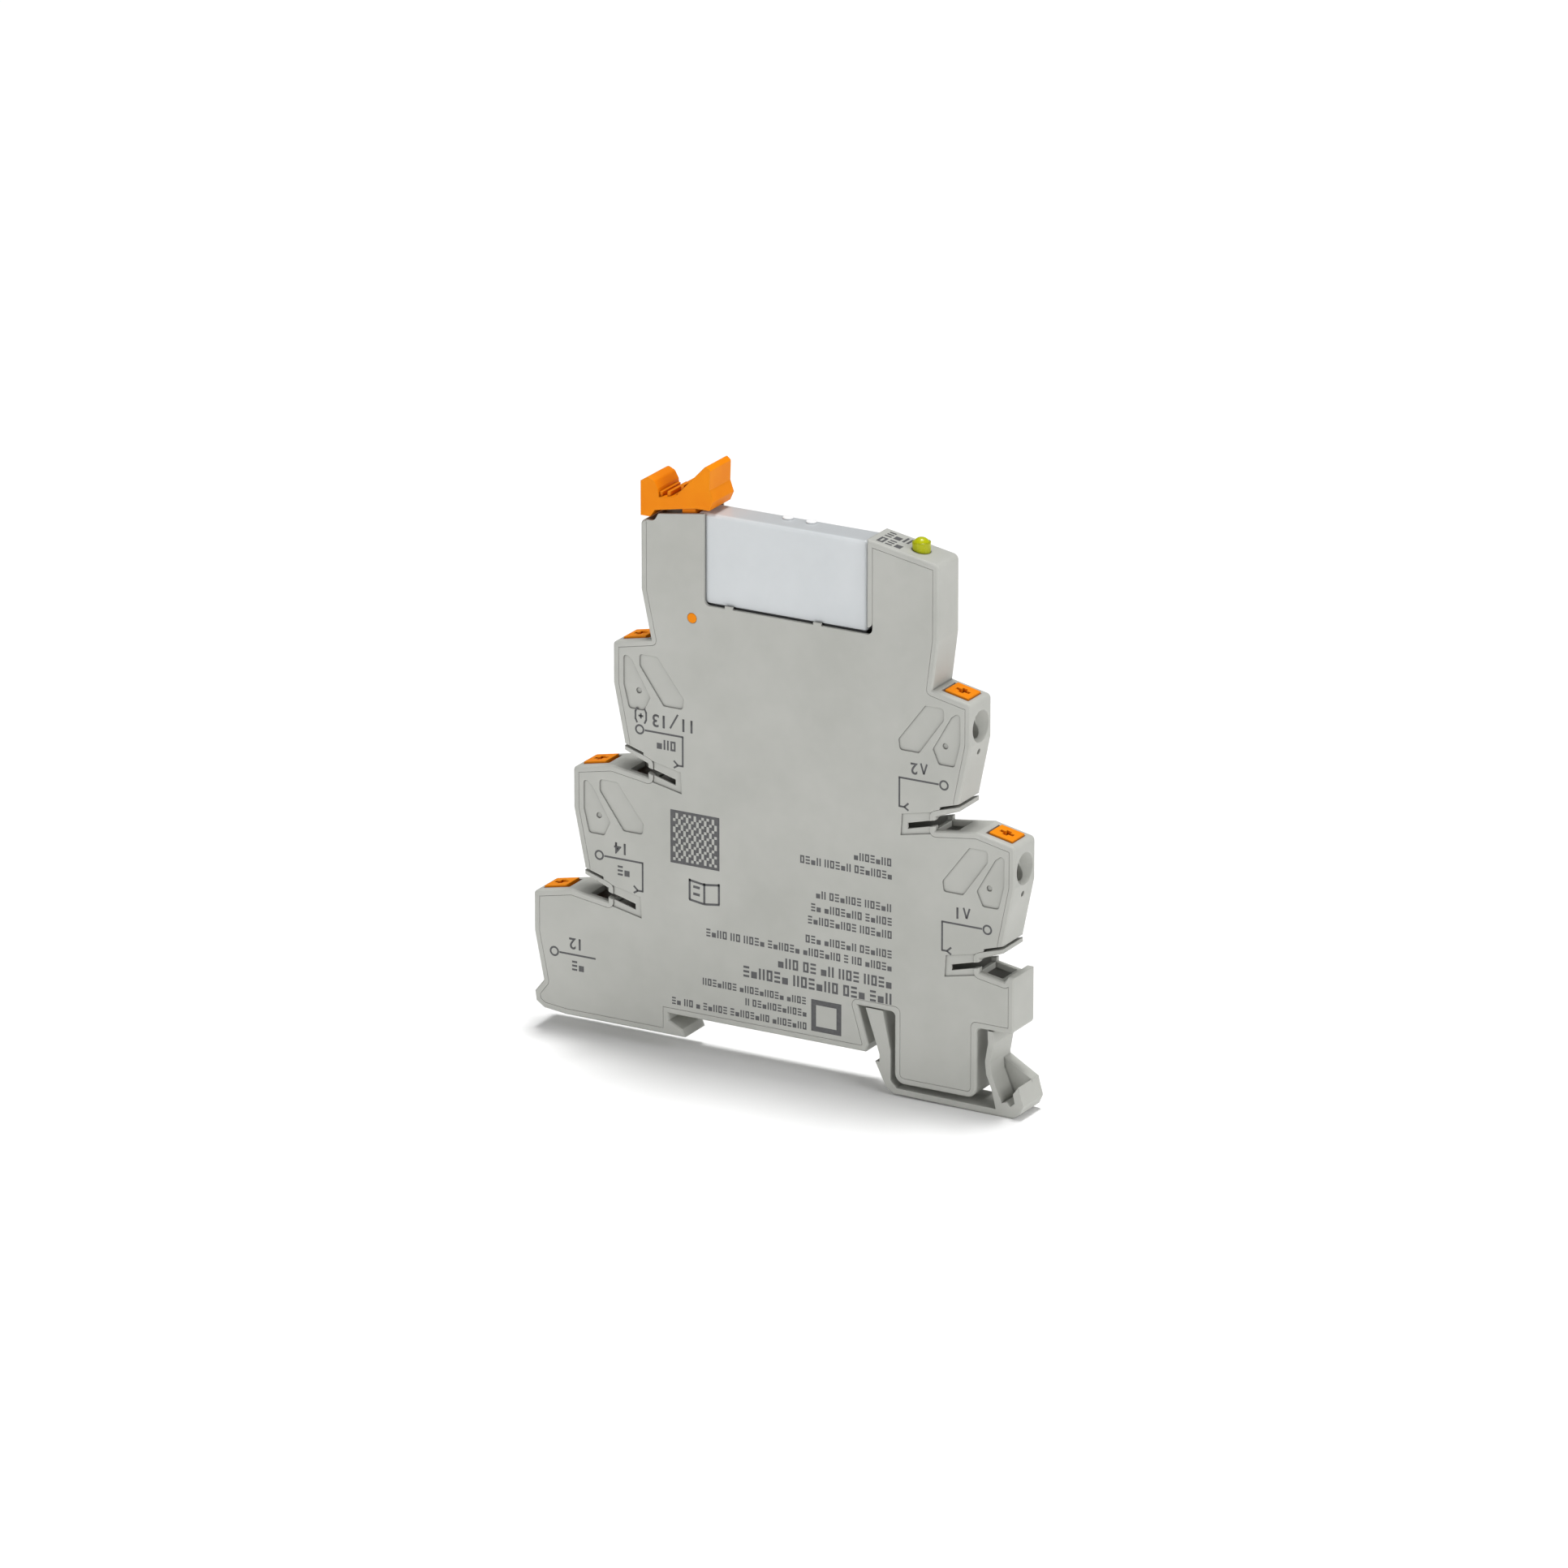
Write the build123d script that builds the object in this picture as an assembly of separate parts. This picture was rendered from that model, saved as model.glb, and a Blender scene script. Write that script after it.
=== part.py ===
from build123d import *
import os

# A plug-in relay on a slim terminal base that clips to a 35 mm mounting rail.
# X runs along the module, Y through its width with the cover at the low end, and Z up.
# The origin is the middle of the face that rests on the rail. All sizes are millimetres.

# Housing, a tray closed by a flat cover
module_width = 6.2
side_wall = 0.5
rim = 0.9
seam = 0.04
edge_bevel = 0.22
slip = 0.1

front = -module_width / 2
back = module_width / 2
inner_front = front + side_wall
inner_back = back - side_wall

# Mounting rail that the foot fits
rail_width = 35.0
flange_gap = 1.1
hook_reach = 2.7
foot_drop = 3.3

# Terminal heads, stepped down each side of the housing
level_drop = 20.4
lowest_top = 15.2
left_reach = 40.3
left_step = 6.8
right_reach = 39.7
right_step = 7.3
head_length = 6.3
head_rise = 1.3
head_height = 15.1
face_height = 6.3
undercut = 1.8
lip_height = 1.3
notch_depth = 5.7
notch_top = 17.9
notch_floor = 20.0
corner_round = 0.7

# Bridge slot, its shallow frame and the slit above it
slot_length = 4.9
slot_height = 0.9
slot_fall = 1.3
frame_margin = 0.9
relief = 0.2
shaft_half = 2.2
shaft_mouth = 3.4
slit_length = 3.2
slit_height = 0.45

# Towers beside the relay
tower_left = -22.0
tower_inset = 5.35
tower_right = right_reach - right_step - tower_inset
tower_shoulder = 64.8
left_tower_top = 75.5
left_tower_rise = 2.5
left_wall_end = -11.5
right_tower_top = 78.3
right_tower_fall = 2.1
bay_sill = 64.0
tab_half = 0.65
tab_reach = 0.35
tab_height = 0.4

# Lower right block that the latch wraps round
block_left = 20.1
latch_room = 6.1
block_right = right_reach - latch_room
block_drop = 3.9
block_round = 1.6
step_height = 7.0
block_end_top = 15.7
throat_left = 14.0
seat_end = 15.3
arm_thickness = 0.9
web_thickness = 2.1

# Relay
relay_length = 28.0
relay_height = 15.0
relay_thickness = 5.0
relay_left = -12.9
relay_seat = 62.8
base_height = 1.5
case_wall = 0.4
case_top_wall = 0.6
case_round = 0.6
pip_radius = 0.8
pip_height = 0.25
pip_set_back = 1.2
bay_gap = 0.25
relay_right = relay_left + relay_length
relay_top = relay_seat + relay_height
bay_right = relay_right + bay_gap

# Relay pins, by their distance from the left end of the relay
nc_pin = relay_left + 2.5
common_pin = nc_pin + 5.0
no_pin = common_pin + 5.0
coil_pin_inner = relay_right - 3.8
coil_pin_outer = relay_right - 1.9
pin_length = 3.4
pin_width = 0.8
pin_thickness = 0.5

# Ejector lever
pivot_x = -13.5
pivot_z = 61.7
pivot_radius = 0.75
hub_radius = 1.0
pivot_fit = 0.05
lever_arm_width = 2.2
toe_length = 5.8
toe_slot = 2.0
lever_head_bottom = 76.05

# Push-in terminals
button_width = 3.8
button_start = 1.1
button_end = 4.8
button_proud = 0.3
button_leg_end = 6.2
button_leg_drop = 4.4
button_shoulder = 0.3
button_travel = 1.4
cross_depth = 0.6
opening_end = 5.4
entry_drop = 4.0
entry_tilt = 25.0
entry_radius = 1.45
entry_mouth = 2.45
entry_flare = 1.6
entry_depth = 5.2
test_drop = 7.9
test_radius = 0.45
test_depth = 1.3
spring_thickness = 0.4
spring_width = 3.4
bar_thickness = 0.6
bar_width = 2.0
bar_side_gap = 0.4
bar_slope = 0.46
bar_start = 5.4
bar_start_drop = 9.3
bar_fall_length = 5.0
bar_bend = 0.9
a1_bar_inset = 2.0
a2_bar_inset = 3.8

# Sockets under the relay
floor_thickness = 1.0
socket_half = 0.9
socket_side = 0.7
socket_gap = 0.05
socket_bottom = 57.0
socket_top = 61.4
socket_slot_depth = 2.8

# Circuit board and its lamp
board_side_gap = 1.65
board_end_gap = 2.25
board_left = bay_right + board_side_gap
board_right = tower_right - board_end_gap
board_bottom = 56.5
board_top = 73.5
board_thickness = 0.8
board_front = -0.2
lamp_inset = 4.45
lamp_x = tower_right - lamp_inset
lamp_radius = 1.35
lamp_dome_z = 78.3
lamp_fit = 0.05
lead_half = 0.25
lead_spread = 0.9
resistor_radius = 0.9
resistor_length = 5.0

# Relay works: coil on the right, contacts on the left, joined by a sliding card at the top
spigot_height = 0.5
works_gap = 0.6
works_bottom = relay_seat + base_height + works_gap
coil_start = 15.8
coil_end_gap = 1.5
coil_left = relay_left + coil_start
coil_right = relay_right - coil_end_gap
flange_plate = 0.7
flange_half = 2.0
coil_lift = 1.0
coil_height = 9.4
coil_low = works_bottom + coil_lift
coil_high = coil_low + coil_height
core_lift = 3.3
core_height = 2.6
core_half = 1.1
core_low = coil_low + core_lift
core_high = core_low + core_height
pole_length = 0.5
spool_wall = 0.5
spool_half = core_half + spool_wall
winding_half = 1.95
winding_round = 0.8
winding_gap = 0.4
yoke_thickness = 0.9
yoke_half = 1.9
yoke_gap = 0.1
pole_gap = 0.4
armature_thickness = 0.8
armature_half = 1.7
armature_right = coil_left - pole_length - pole_gap
tongue_half = 0.7
card_height = 0.8
card_half = 1.5
card_low = coil_high + yoke_gap
card_high = card_low + card_height
card_gap = 0.2
leaf_lift = 3.2
leaf_root = relay_seat + leaf_lift
leaf_half = 1.2
leaf_neck_half = 0.85
leaf_thickness = 0.2
contact_lift = 7.5
contact_z = leaf_root + contact_lift
contact_radius = 0.8
contact_button = 1.3
contact_top_gap = 0.7
contact_top = card_low - contact_top_gap
fixed_offset = 1.6
fixed_thickness = 0.4
closed_gap = 0.05
open_gap = 0.5


def slab(face, y_from, y_to):
    """Prism between two Y planes of a face drawn in X and Z."""
    return Pos(0, y_to, 0) * extrude(Plane.XZ * face, y_to - y_from, dir=(0, -1, 0))


def brick(x_from, x_to, y_from, y_to, z_from, z_to):
    """Rectangular block between six planes."""
    corners = [(x_from, z_from), (x_to, z_from), (x_to, z_to), (x_from, z_to)]
    return slab(Polygon(*corners, align=None), y_from, y_to)


def rod(x, z, radius, y_from, y_to):
    """Round bar along Y."""
    return slab(Pos(x, z) * Circle(radius), y_from, y_to)


def strip(points, radius, thickness, y_from, y_to):
    """Bent sheet-metal strip that follows points in X and Z."""
    return slab(trace(FilletPolyline(*points, radius=radius), thickness), y_from, y_to)


def near(shape, points, reach=0.02):
    """Corners of a flat face that lie at the given points."""

    def is_near(corner):
        return any((corner.X - x) ** 2 + (corner.Y - z) ** 2 < reach**2 for x, z in points)

    return [corner for corner in shape.vertices() if is_near(corner)]


# Terminal heads are laid out inwards from their end face and down from their outer top corner
def end_face(side, level):
    if side < 0:
        return -(left_reach - level * left_step)
    return right_reach - (level - 1) * right_step


def head_top(level):
    return lowest_top + level * level_drop


def at(side, level, inward, drop):
    return end_face(side, level) - side * inward, head_top(level) - drop


HEADS = {"11": (-1, 2), "14": (-1, 1), "12": (-1, 0), "a2": (1, 2), "a1": (1, 1)}
NOTCHED = [place for place in HEADS.values() if place != (-1, 0)]


def head_outline(side, level):
    """Head from the tower side down to the floor of the notch below it."""
    return [
        at(side, level, head_length, -head_rise),
        at(side, level, 0, 0),
        at(side, level, 0, face_height),
        at(side, level, undercut, head_height),
        at(side, level, undercut, head_height + lip_height),
        at(side, level, notch_depth, notch_top),
        at(side, level, notch_depth, notch_floor),
    ]


def side_outline(open_by):
    """Side of the housing. The edges with no rim, round the relay bay, move out by open_by."""
    rail_end = -rail_width / 2 - slip
    hook_tip = rail_end + hook_reach
    foot_face = end_face(-1, 0)
    step_end = end_face(1, 1)
    left_end = [
        at(-1, 0, head_length, -head_rise),
        at(-1, 0, 0, 0),
        at(-1, 0, 0, face_height),
        at(-1, 0, 1.5, 13.8),
    ]
    foot = [
        (foot_face, -0.5),
        (foot_face + 0.2, -2.0),
        (foot_face + 1.5, 0.4 - foot_drop),
        (foot_face + 5.3, -foot_drop),
        (hook_tip, -foot_drop),
        (hook_tip - 0.5, -2.1),
        (rail_end, -flange_gap),
        (rail_end, 0),
        (seat_end, 0),
        (seat_end + 0.4, 1.2),
        (throat_left, step_height),
    ]
    block = [
        (block_left, step_height),
        (block_left, -block_drop),
        (block_right, -block_drop),
        (block_right, step_height),
        (step_end, step_height),
        (step_end, block_end_top),
        (step_end - 1.0, block_end_top),
        (step_end - 1.6, block_end_top - 0.8),
    ]
    towers = [
        (tower_right, tower_shoulder),
        (tower_right, right_tower_top - right_tower_fall),
        (bay_right, right_tower_top),
        (bay_right, bay_sill + open_by),
        (left_wall_end + open_by, bay_sill + open_by),
        (left_wall_end + open_by, left_tower_top + left_tower_rise + open_by),
        (tower_left + 2.3, left_tower_top + 1.1 + open_by),
        (tower_left + 1.7, left_tower_top + open_by),
    ]
    points = [(tower_left, left_tower_top + open_by), (tower_left, tower_shoulder)]
    points += head_outline(-1, 2) + head_outline(-1, 1) + left_end + foot + block
    points += head_outline(1, 1)[::-1] + head_outline(1, 2)[::-1] + towers
    return Polygon(*points, align=None)


def rounded_outline():
    """Side of the housing with its rounded corners."""
    face = side_outline(0)
    heads = [at(side, level, 0, 0) for side, level in HEADS.values()]
    face = fillet(near(face, heads), corner_round)
    step_end = end_face(1, 1)
    ends = [
        (tower_left, left_tower_top),
        (tower_right, right_tower_top - right_tower_fall),
        (step_end, step_height),
    ]
    face = fillet(near(face, ends), corner_round + 0.2)
    return round_block(face, 0)


def round_block(face, amount):
    """Rounds the lower corners of the block, and those where it meets the housing."""
    low = -block_drop + amount
    lower_corners = [(block_left + amount, low), (block_right - amount, low)]
    face = fillet(near(face, lower_corners), block_round - amount)
    if amount:
        return face
    upper_corners = [(block_left, step_height), (block_right, step_height)]
    return fillet(near(face, upper_corners), block_round - rim)


def inset(amount, open_by):
    """Side of the housing drawn in by an amount, without the thin nose of the rail hook."""
    face = round_block(offset(side_outline(open_by), amount=-amount, kind=Kind.ARC), amount)
    hook_end = -rail_width / 2 - slip - amount
    deep = -2 * foot_drop
    nose = Polygon((hook_end, deep), (0, deep), (0, amount), (hook_end, amount), align=None)
    return face - nose


def slot_cut(side, level, y_from, y_to):
    """Sloping slot that a bridge comb drops into, open to the notch."""
    start = notch_depth - 0.3
    middle = (notch_top + notch_floor) / 2 - 0.2
    corners = [
        at(side, level, start, middle - slot_height / 2),
        at(side, level, start + slot_length, middle + slot_fall - slot_height / 2),
        at(side, level, start + slot_length, middle + slot_fall + slot_height / 2),
        at(side, level, start, middle + slot_height / 2),
    ]
    return slab(Polygon(*corners, align=None), y_from, y_to)


def shaft_cut(side, level):
    """Opening in the inner wall and the floor of the notch that lets the bridge comb in."""
    fall = slot_fall / slot_length
    deep = rim + 0.6
    corners = [
        at(side, level, notch_depth - 0.3, notch_top + 0.25),
        at(side, level, notch_depth + deep, notch_top + 0.25 + deep * fall),
        at(side, level, notch_depth + deep, notch_floor - 0.1 + deep * fall),
        at(side, level, notch_depth - 0.3, notch_floor - 0.1),
    ]
    floor_corners = [
        at(side, level, notch_depth - shaft_mouth, notch_floor - 1.2),
        at(side, level, notch_depth + 0.1, notch_floor - 1.2),
        at(side, level, notch_depth + 0.1, notch_floor + rim + 0.6),
        at(side, level, notch_depth - shaft_mouth, notch_floor + rim + 0.6),
    ]
    through_floor = slab(Polygon(*floor_corners, align=None), -shaft_half, shaft_half)
    return slab(Polygon(*corners, align=None), -shaft_half, shaft_half) + through_floor


def slit_cut(side, level, y_from, y_to):
    """Short slit between a head and the lip below it."""
    fall = slit_length * 0.3
    corners = [
        at(side, level, undercut - 0.3, head_height + 0.1),
        at(side, level, undercut + slit_length, head_height + 0.2 + fall),
        at(side, level, undercut + slit_length, head_height + 0.2 + fall + slit_height),
        at(side, level, undercut - 0.3, head_height + 0.1 + slit_height),
    ]
    return slab(Polygon(*corners, align=None), y_from, y_to)


def frame_recess(side, level):
    """Shallow frame pressed into the cover round a bridge slot."""
    start = notch_depth - 0.6
    end = notch_depth + slot_length + frame_margin - 0.3
    corners = [
        at(side, level, start, notch_top - 0.9),
        at(side, level, end, notch_top - 0.9 + slot_fall),
        at(side, level, end + 0.2, notch_floor + 0.3 + slot_fall),
        at(side, level, start, notch_floor + 0.3),
    ]
    return slab(Polygon(*corners, align=None), front - slip, front + relief)


def chamber_recesses(side, level):
    """Two shallow fields on the cover that show where the spring and the wire guide lie."""
    guide = [
        at(side, level, 1.7, 1.2),
        at(side, level, 3.2, 2.4),
        at(side, level, 6.2, 7.6),
        at(side, level, 5.2, 9.8),
        at(side, level, 2.6, 9.8),
        at(side, level, 1.7, 6.2),
    ]
    spring = [
        at(side, level, 4.4, 1.2),
        at(side, level, 7.4, 1.2),
        at(side, level, 11.8, 7.0),
        at(side, level, 11.6, 8.6),
        at(side, level, 8.4, 8.6),
        at(side, level, 4.4, 3.0),
    ]
    fields = []
    for points in (guide, spring):
        face = Polygon(*points, align=None)
        fields.append(slab(fillet(face.vertices(), 0.5), front - slip, front + relief))
    dimple = rod(*at(side, level, 4.2, 6.9), 0.45, front - slip, front + 2 * relief)
    return fields + [dimple]


def wire_entry(side, level):
    """Level countersink in the end face, and the sloping round bore behind it."""
    bottom = (Align.CENTER, Align.CENTER, Align.MIN)
    x, z = at(side, level, 0, entry_drop)
    inward = Vector(-side, 0, 0)
    downward = inward.rotate(Axis.Y, -side * entry_tilt)
    level_in = Plane((x, 0, z), x_dir=(0, 1, 0), z_dir=inward)
    sloping_in = Plane((x, 0, z), x_dir=(0, 1, 0), z_dir=downward)
    flare_rate = (entry_mouth - entry_radius) / entry_flare
    ahead = 0.4
    flare = Cone(entry_mouth + flare_rate * ahead, entry_radius, entry_flare + ahead, align=bottom)
    bore = Cylinder(entry_radius, entry_depth + 2.0, align=bottom)
    return level_in * Pos(0, 0, -ahead) * flare + sloping_in * Pos(0, 0, -1.0) * bore


def test_hole(side, level):
    """Small blind hole for a test probe, under the wire entry."""
    x, z = at(side, level, 0.3, test_drop)
    return Pos(x, 0, z) * Rot(0, 90, 0) * Cylinder(test_radius, 2 * test_depth)


def entry_guide(side, level):
    """Block moulded in the tray that guides the wire."""
    corners = [
        at(side, level, 0.5, entry_drop - 2.1),
        at(side, level, 5.0, entry_drop - 0.6),
        at(side, level, 5.0, entry_drop + 4.6),
        at(side, level, 1.3, entry_drop + 3.6),
        at(side, level, 0.5, entry_drop + 3.2),
    ]
    return slab(Polygon(*corners, align=None), inner_front + seam, inner_back)


def button_opening(side, level):
    corners = [
        at(side, level, button_start - slip, -3.0),
        at(side, level, opening_end, -3.0),
        at(side, level, opening_end, button_travel),
        at(side, level, button_start - slip, button_travel),
    ]
    half = button_width / 2 + slip
    return slab(Polygon(*corners, align=None), -half, half)


# Current bars run behind or in front of the middle, so that they pass each other
def bar_sides(name):
    if name == "12":
        return bar_side_gap, bar_side_gap + bar_width
    return board_front - bar_width, board_front


def bar_route(name):
    """Corners of a current bar, from under the clamp to its upper end."""
    side, level = HEADS[name]
    run_up = {
        "11": common_pin,
        "14": no_pin,
        "12": nc_pin,
        "a2": board_left + a2_bar_inset,
        "a1": board_left + a1_bar_inset,
    }
    up_x = run_up[name]
    upper_end = socket_bottom + 0.5 if side < 0 else board_bottom + 1.5
    start_x, start_z = at(side, level, bar_start, bar_start_drop)
    turn_x = start_x - side * bar_fall_length
    run_z = start_z - bar_fall_length * bar_slope
    if name == "a2":
        bend_z = start_z - bar_slope * (start_x - up_x)
        return [(start_x, start_z), (up_x, bend_z), (up_x, upper_end)]
    return [(start_x, start_z), (turn_x, run_z), (up_x, run_z), (up_x, upper_end)]


def housing_posts():
    """Posts on the tray floor that carry the current bars and the circuit board."""
    posts = []
    post_radius = 0.8
    for name in HEADS:
        turn, upper_end = bar_route(name)[1], bar_route(name)[-1]
        bar_back = bar_sides(name)[1]
        posts.append(rod(*turn, post_radius, bar_back, inner_back))
        posts.append(rod(upper_end[0], upper_end[1] - 3.5, post_radius, bar_back, inner_back))
    for x in (board_left + 0.8, board_right - 0.8):
        for z in (board_bottom + 1.5, board_top - 1.0):
            posts.append(rod(x, z, post_radius, board_front + board_thickness, inner_back))
    return posts


def pin_slots():
    """Slots in the socket floor for the relay's pins."""
    half_x = pin_width / 2 + 2 * slip
    half_y = pin_thickness / 2 + 2 * slip
    floor_bottom = relay_seat - floor_thickness
    slots = []
    for x in (common_pin, no_pin, coil_pin_inner, coil_pin_outer):
        slots.append(brick(x - half_x, x + half_x, -half_y, half_y, floor_bottom - slip, relay_seat + slip))
    return slots


def housing_shell():
    body = slab(rounded_outline(), front, back)
    rims = [e for e in body.edges() if e.center().Y < front + 0.01 or e.center().Y > back - 0.01]
    body = chamfer(rims, edge_bevel)
    body -= slab(inset(rim, rim + 1.0), front - 1.0, inner_back)
    body -= brick(relay_left - slip, bay_right, inner_front, inner_back, relay_seat, right_tower_top + 1.0)
    floor_left = pivot_x + toe_length + 3 * slip
    floor_bottom = relay_seat - floor_thickness
    body += brick(floor_left, bay_right + rim, inner_front + seam, inner_back, floor_bottom, relay_seat)
    body += [entry_guide(*place) for place in HEADS.values()] + housing_posts()
    body -= pin_slots()
    body -= [wire_entry(*place) for place in HEADS.values()]
    body -= [test_hole(*place) for place in HEADS.values()]
    body -= [button_opening(*place) for place in HEADS.values()]
    body -= [slot_cut(*place, front - 1.0, back + 1.0) for place in NOTCHED]
    body -= [shaft_cut(*place) for place in NOTCHED]
    body -= [slit_cut(*place, front - 1.0, back + 1.0) for place in NOTCHED]
    body -= rod(pivot_x, pivot_z, pivot_radius + pivot_fit, 0, back + 1.0)
    lamp_hole = Pos(lamp_x, 0, lamp_dome_z) * Cylinder(lamp_radius + lamp_fit, 6.0)
    return body - lamp_hole


def side_cover():
    """Flat cover that snaps into the rim of the tray."""
    gap = rim + seam
    cover = slab(inset(gap, gap), front, inner_front)
    cover -= [slot_cut(*place, front - 1.0, inner_front + 1.0) for place in NOTCHED]
    cover -= [slit_cut(*place, front - 1.0, inner_front + 1.0) for place in NOTCHED]
    for place in NOTCHED:
        cover -= frame_recess(*place)
        cover -= chamber_recesses(*place)
    cover -= rod(pivot_x, pivot_z, pivot_radius + pivot_fit, front - 1.0, 0)
    for x in (-7.4, 7.2):
        x_from, x_to = x - tab_half, x + tab_half
        cover += brick(x_from, x_to, front, front + tab_reach, bay_sill - slip, bay_sill + tab_height)
    return cover


def rail_latch():
    """Springy moulded latch: a hooked arm, a beam under the block and a pry pocket at its end."""
    rail_end = rail_width / 2 + slip
    hook_tip = rail_end - 0.7
    arm_top = step_height - slip
    inner = block_left - 0.7
    beam_top = -block_drop - 0.8
    beam_bottom = beam_top - 0.85
    step_end = end_face(1, 1)
    hooked_arm = [
        (seat_end, arm_top),
        (rail_end, 0.1),
        (rail_end, -flange_gap),
        (hook_tip, -flange_gap),
        (inner - 0.6, beam_bottom + 0.6),
        (inner + 0.6, beam_bottom),
    ]
    pocket = [
        (step_end - 3.2, beam_bottom - 0.35),
        (step_end - 0.2, beam_bottom - 0.35),
        (step_end + 1.0, beam_bottom + 0.4),
        (step_end + 1.6, -3.8),
        (step_end + 0.8, -0.9),
        (step_end - 0.1, -2.1),
        (step_end + 0.2, -3.5),
        (step_end - 0.5, -4.1),
        (step_end - 1.2, -3.5),
    ]
    bow = [
        (block_right + 1.8, arm_top),
        (block_right + 1.9, 5.0),
        (block_right + 1.4, 2.1),
        (block_right + 1.6, 0.2),
        (block_right + 2.5, -2.0),
    ]
    bowed_arm = [(block_right + 4.2, beam_top + 0.9)]
    bowed_arm += [(x + arm_thickness, z) for x, z in bow[::-1]] + bow
    bowed_arm += [(block_right + 3.2, beam_top - 0.2)]
    inside = [
        (block_left + 0.3, beam_top),
        (inner, -3.6),
        (inner, 0.9),
        (seat_end + 2.8, arm_top),
    ]
    face = Polygon(*hooked_arm, *pocket, *bowed_arm, *inside, align=None)
    face = fillet(near(face, bowed_arm[1:5] + bowed_arm[7:11]), 0.8)
    face = fillet(near(face, [pocket[3], inside[1], hooked_arm[5]]), 0.5)
    web = [
        (block_right + 2.2, 1.8),
        (step_end + 0.9, -1.0),
        (step_end + 1.2, -3.9),
        (step_end + 0.8, beam_bottom + 0.6),
        (step_end - 2.4, beam_bottom),
        (block_right + 3.2, -2.6),
    ]
    latch = slab(face, front + slip / 2, back - slip / 2)
    return latch + slab(Polygon(*web, align=None), back - web_thickness, back - slip / 2)


def ejector_lever():
    """Lever with a label carrier on top, a forked toe under the relay and two trunnions."""
    arm_right = relay_left - 3 * slip
    arm_left = arm_right - lever_arm_width
    wide = module_width / 2
    narrow = inner_back - slip
    head_left = tower_left
    carrier = [
        (head_left, lever_head_bottom),
        (head_left + 1.55, lever_head_bottom),
        (head_left + 2.3, lever_head_bottom + 1.1),
        (left_wall_end - 1.5, relay_top + 0.65),
        (left_wall_end + 0.9, relay_top + 0.65),
        (left_wall_end + 1.5, relay_top + 2.0),
        (left_wall_end + 0.9, relay_top + 3.7),
        (left_wall_end + 1.0, relay_top + 6.7),
        (left_wall_end + 0.3, relay_top + 7.3),
        (left_wall_end - 4.8, relay_top + 1.9),
        (head_left + 3.0, relay_top + 1.4),
        (head_left + 2.8, relay_top + 2.6),
        (head_left + 2.2, relay_top + 3.7),
        (head_left + 1.1, relay_top + 4.2),
        (head_left, relay_top + 3.5),
    ]
    face = Polygon(*carrier, align=None)
    face = fillet(near(face, carrier[7:9]), 0.3)
    face = fillet(near(face, carrier[12:14]), 0.6)
    lever = slab(face, -wide, wide)
    arm = [
        (arm_left, relay_top + 0.8),
        (arm_left, pivot_z - hub_radius / 2),
        (pivot_x, pivot_z - hub_radius),
        (pivot_x + toe_length, relay_seat - slip - 1.1),
        (pivot_x + toe_length, relay_seat - slip),
        (arm_right, relay_seat - slip),
        (arm_right, relay_top + 0.8),
    ]
    lever += slab(Polygon(*arm, align=None), -narrow, narrow)
    slot_right = pivot_x + toe_length + 1.0
    lever -= brick(pivot_x + hub_radius, slot_right, -toe_slot / 2, toe_slot / 2, pivot_z - 3, relay_seat)
    valley_z = relay_top + 1.9
    for x in (head_left + 3.5, head_left + 5.6, head_left + 8.4):
        lever -= Pos(x, 0, valley_z) * Box(0.9, module_width - 2.4, 1.6)
    return lever + rod(pivot_x, pivot_z, pivot_radius, -wide, wide)


def release_button(side, level):
    """Button in the head's top, with a leg that opens the clamp."""
    rate = head_rise / head_length
    cap = [
        at(side, level, button_start, -rate * button_start - button_proud),
        at(side, level, button_end, -rate * button_end - button_proud),
        at(side, level, button_end, button_shoulder),
        at(side, level, button_leg_end, button_shoulder),
        at(side, level, button_leg_end, button_leg_drop),
        at(side, level, button_end + 0.4, button_leg_drop),
        at(side, level, button_end + 0.4, button_shoulder + 0.9),
        at(side, level, button_start, button_shoulder + 0.1),
    ]
    half = button_width / 2
    button = slab(Polygon(*cap, align=None), -half, half)
    middle = (button_start + button_end) / 2
    x, z = at(side, level, middle, -rate * middle - button_proud)
    crossed = [Box(2.2, 0.7, 2 * cross_depth), Box(0.8, 1.7, 2 * cross_depth)]
    return button - [Pos(x, 0, z) * recess for recess in crossed]


def clamp_spring(side, level):
    """Leaf spring bent into a loop, with its free end over the current bar."""
    points = [
        at(side, level, 9.9, 10.8),
        at(side, level, 10.6, 4.6),
        at(side, level, 8.0, 3.4),
        at(side, level, 6.6, 8.2),
    ]
    return strip(points, 1.0, spring_thickness, -spring_width / 2, spring_width / 2)


def current_bar(name):
    """Copper bar from a terminal to the relay socket or to the circuit board."""
    route = bar_route(name)
    bar = strip(route, bar_bend, bar_thickness, *bar_sides(name))
    return bar + pin_socket(route[-1][0]) if HEADS[name][0] < 0 else bar


def pin_socket(x):
    """Forked contact that grips a relay pin."""
    half_gap = pin_thickness / 2 + socket_gap
    fork = brick(x - socket_half, x + socket_half, -socket_side, socket_side, socket_bottom, socket_top)
    slot_bottom = socket_top - socket_slot_depth
    return fork - brick(x - 2, x + 2, -half_gap, half_gap, slot_bottom, socket_top + slip)


def coil_socket(x, run_z):
    """Pin socket with a tail soldered to the circuit board."""
    tail = brick(x, board_left + 1.4, board_front - 0.5, board_front, run_z, run_z + 0.8)
    link = brick(x - socket_half, x + socket_half, -socket_side, board_front, run_z, socket_bottom + 0.5)
    return pin_socket(x) + tail + link


def circuit_board():
    board_back = board_front + board_thickness
    board = brick(board_left, board_right, board_front, board_back, board_bottom, board_top)
    return chamfer(board.edges().filter_by(Axis.Y), 0.5)


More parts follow.
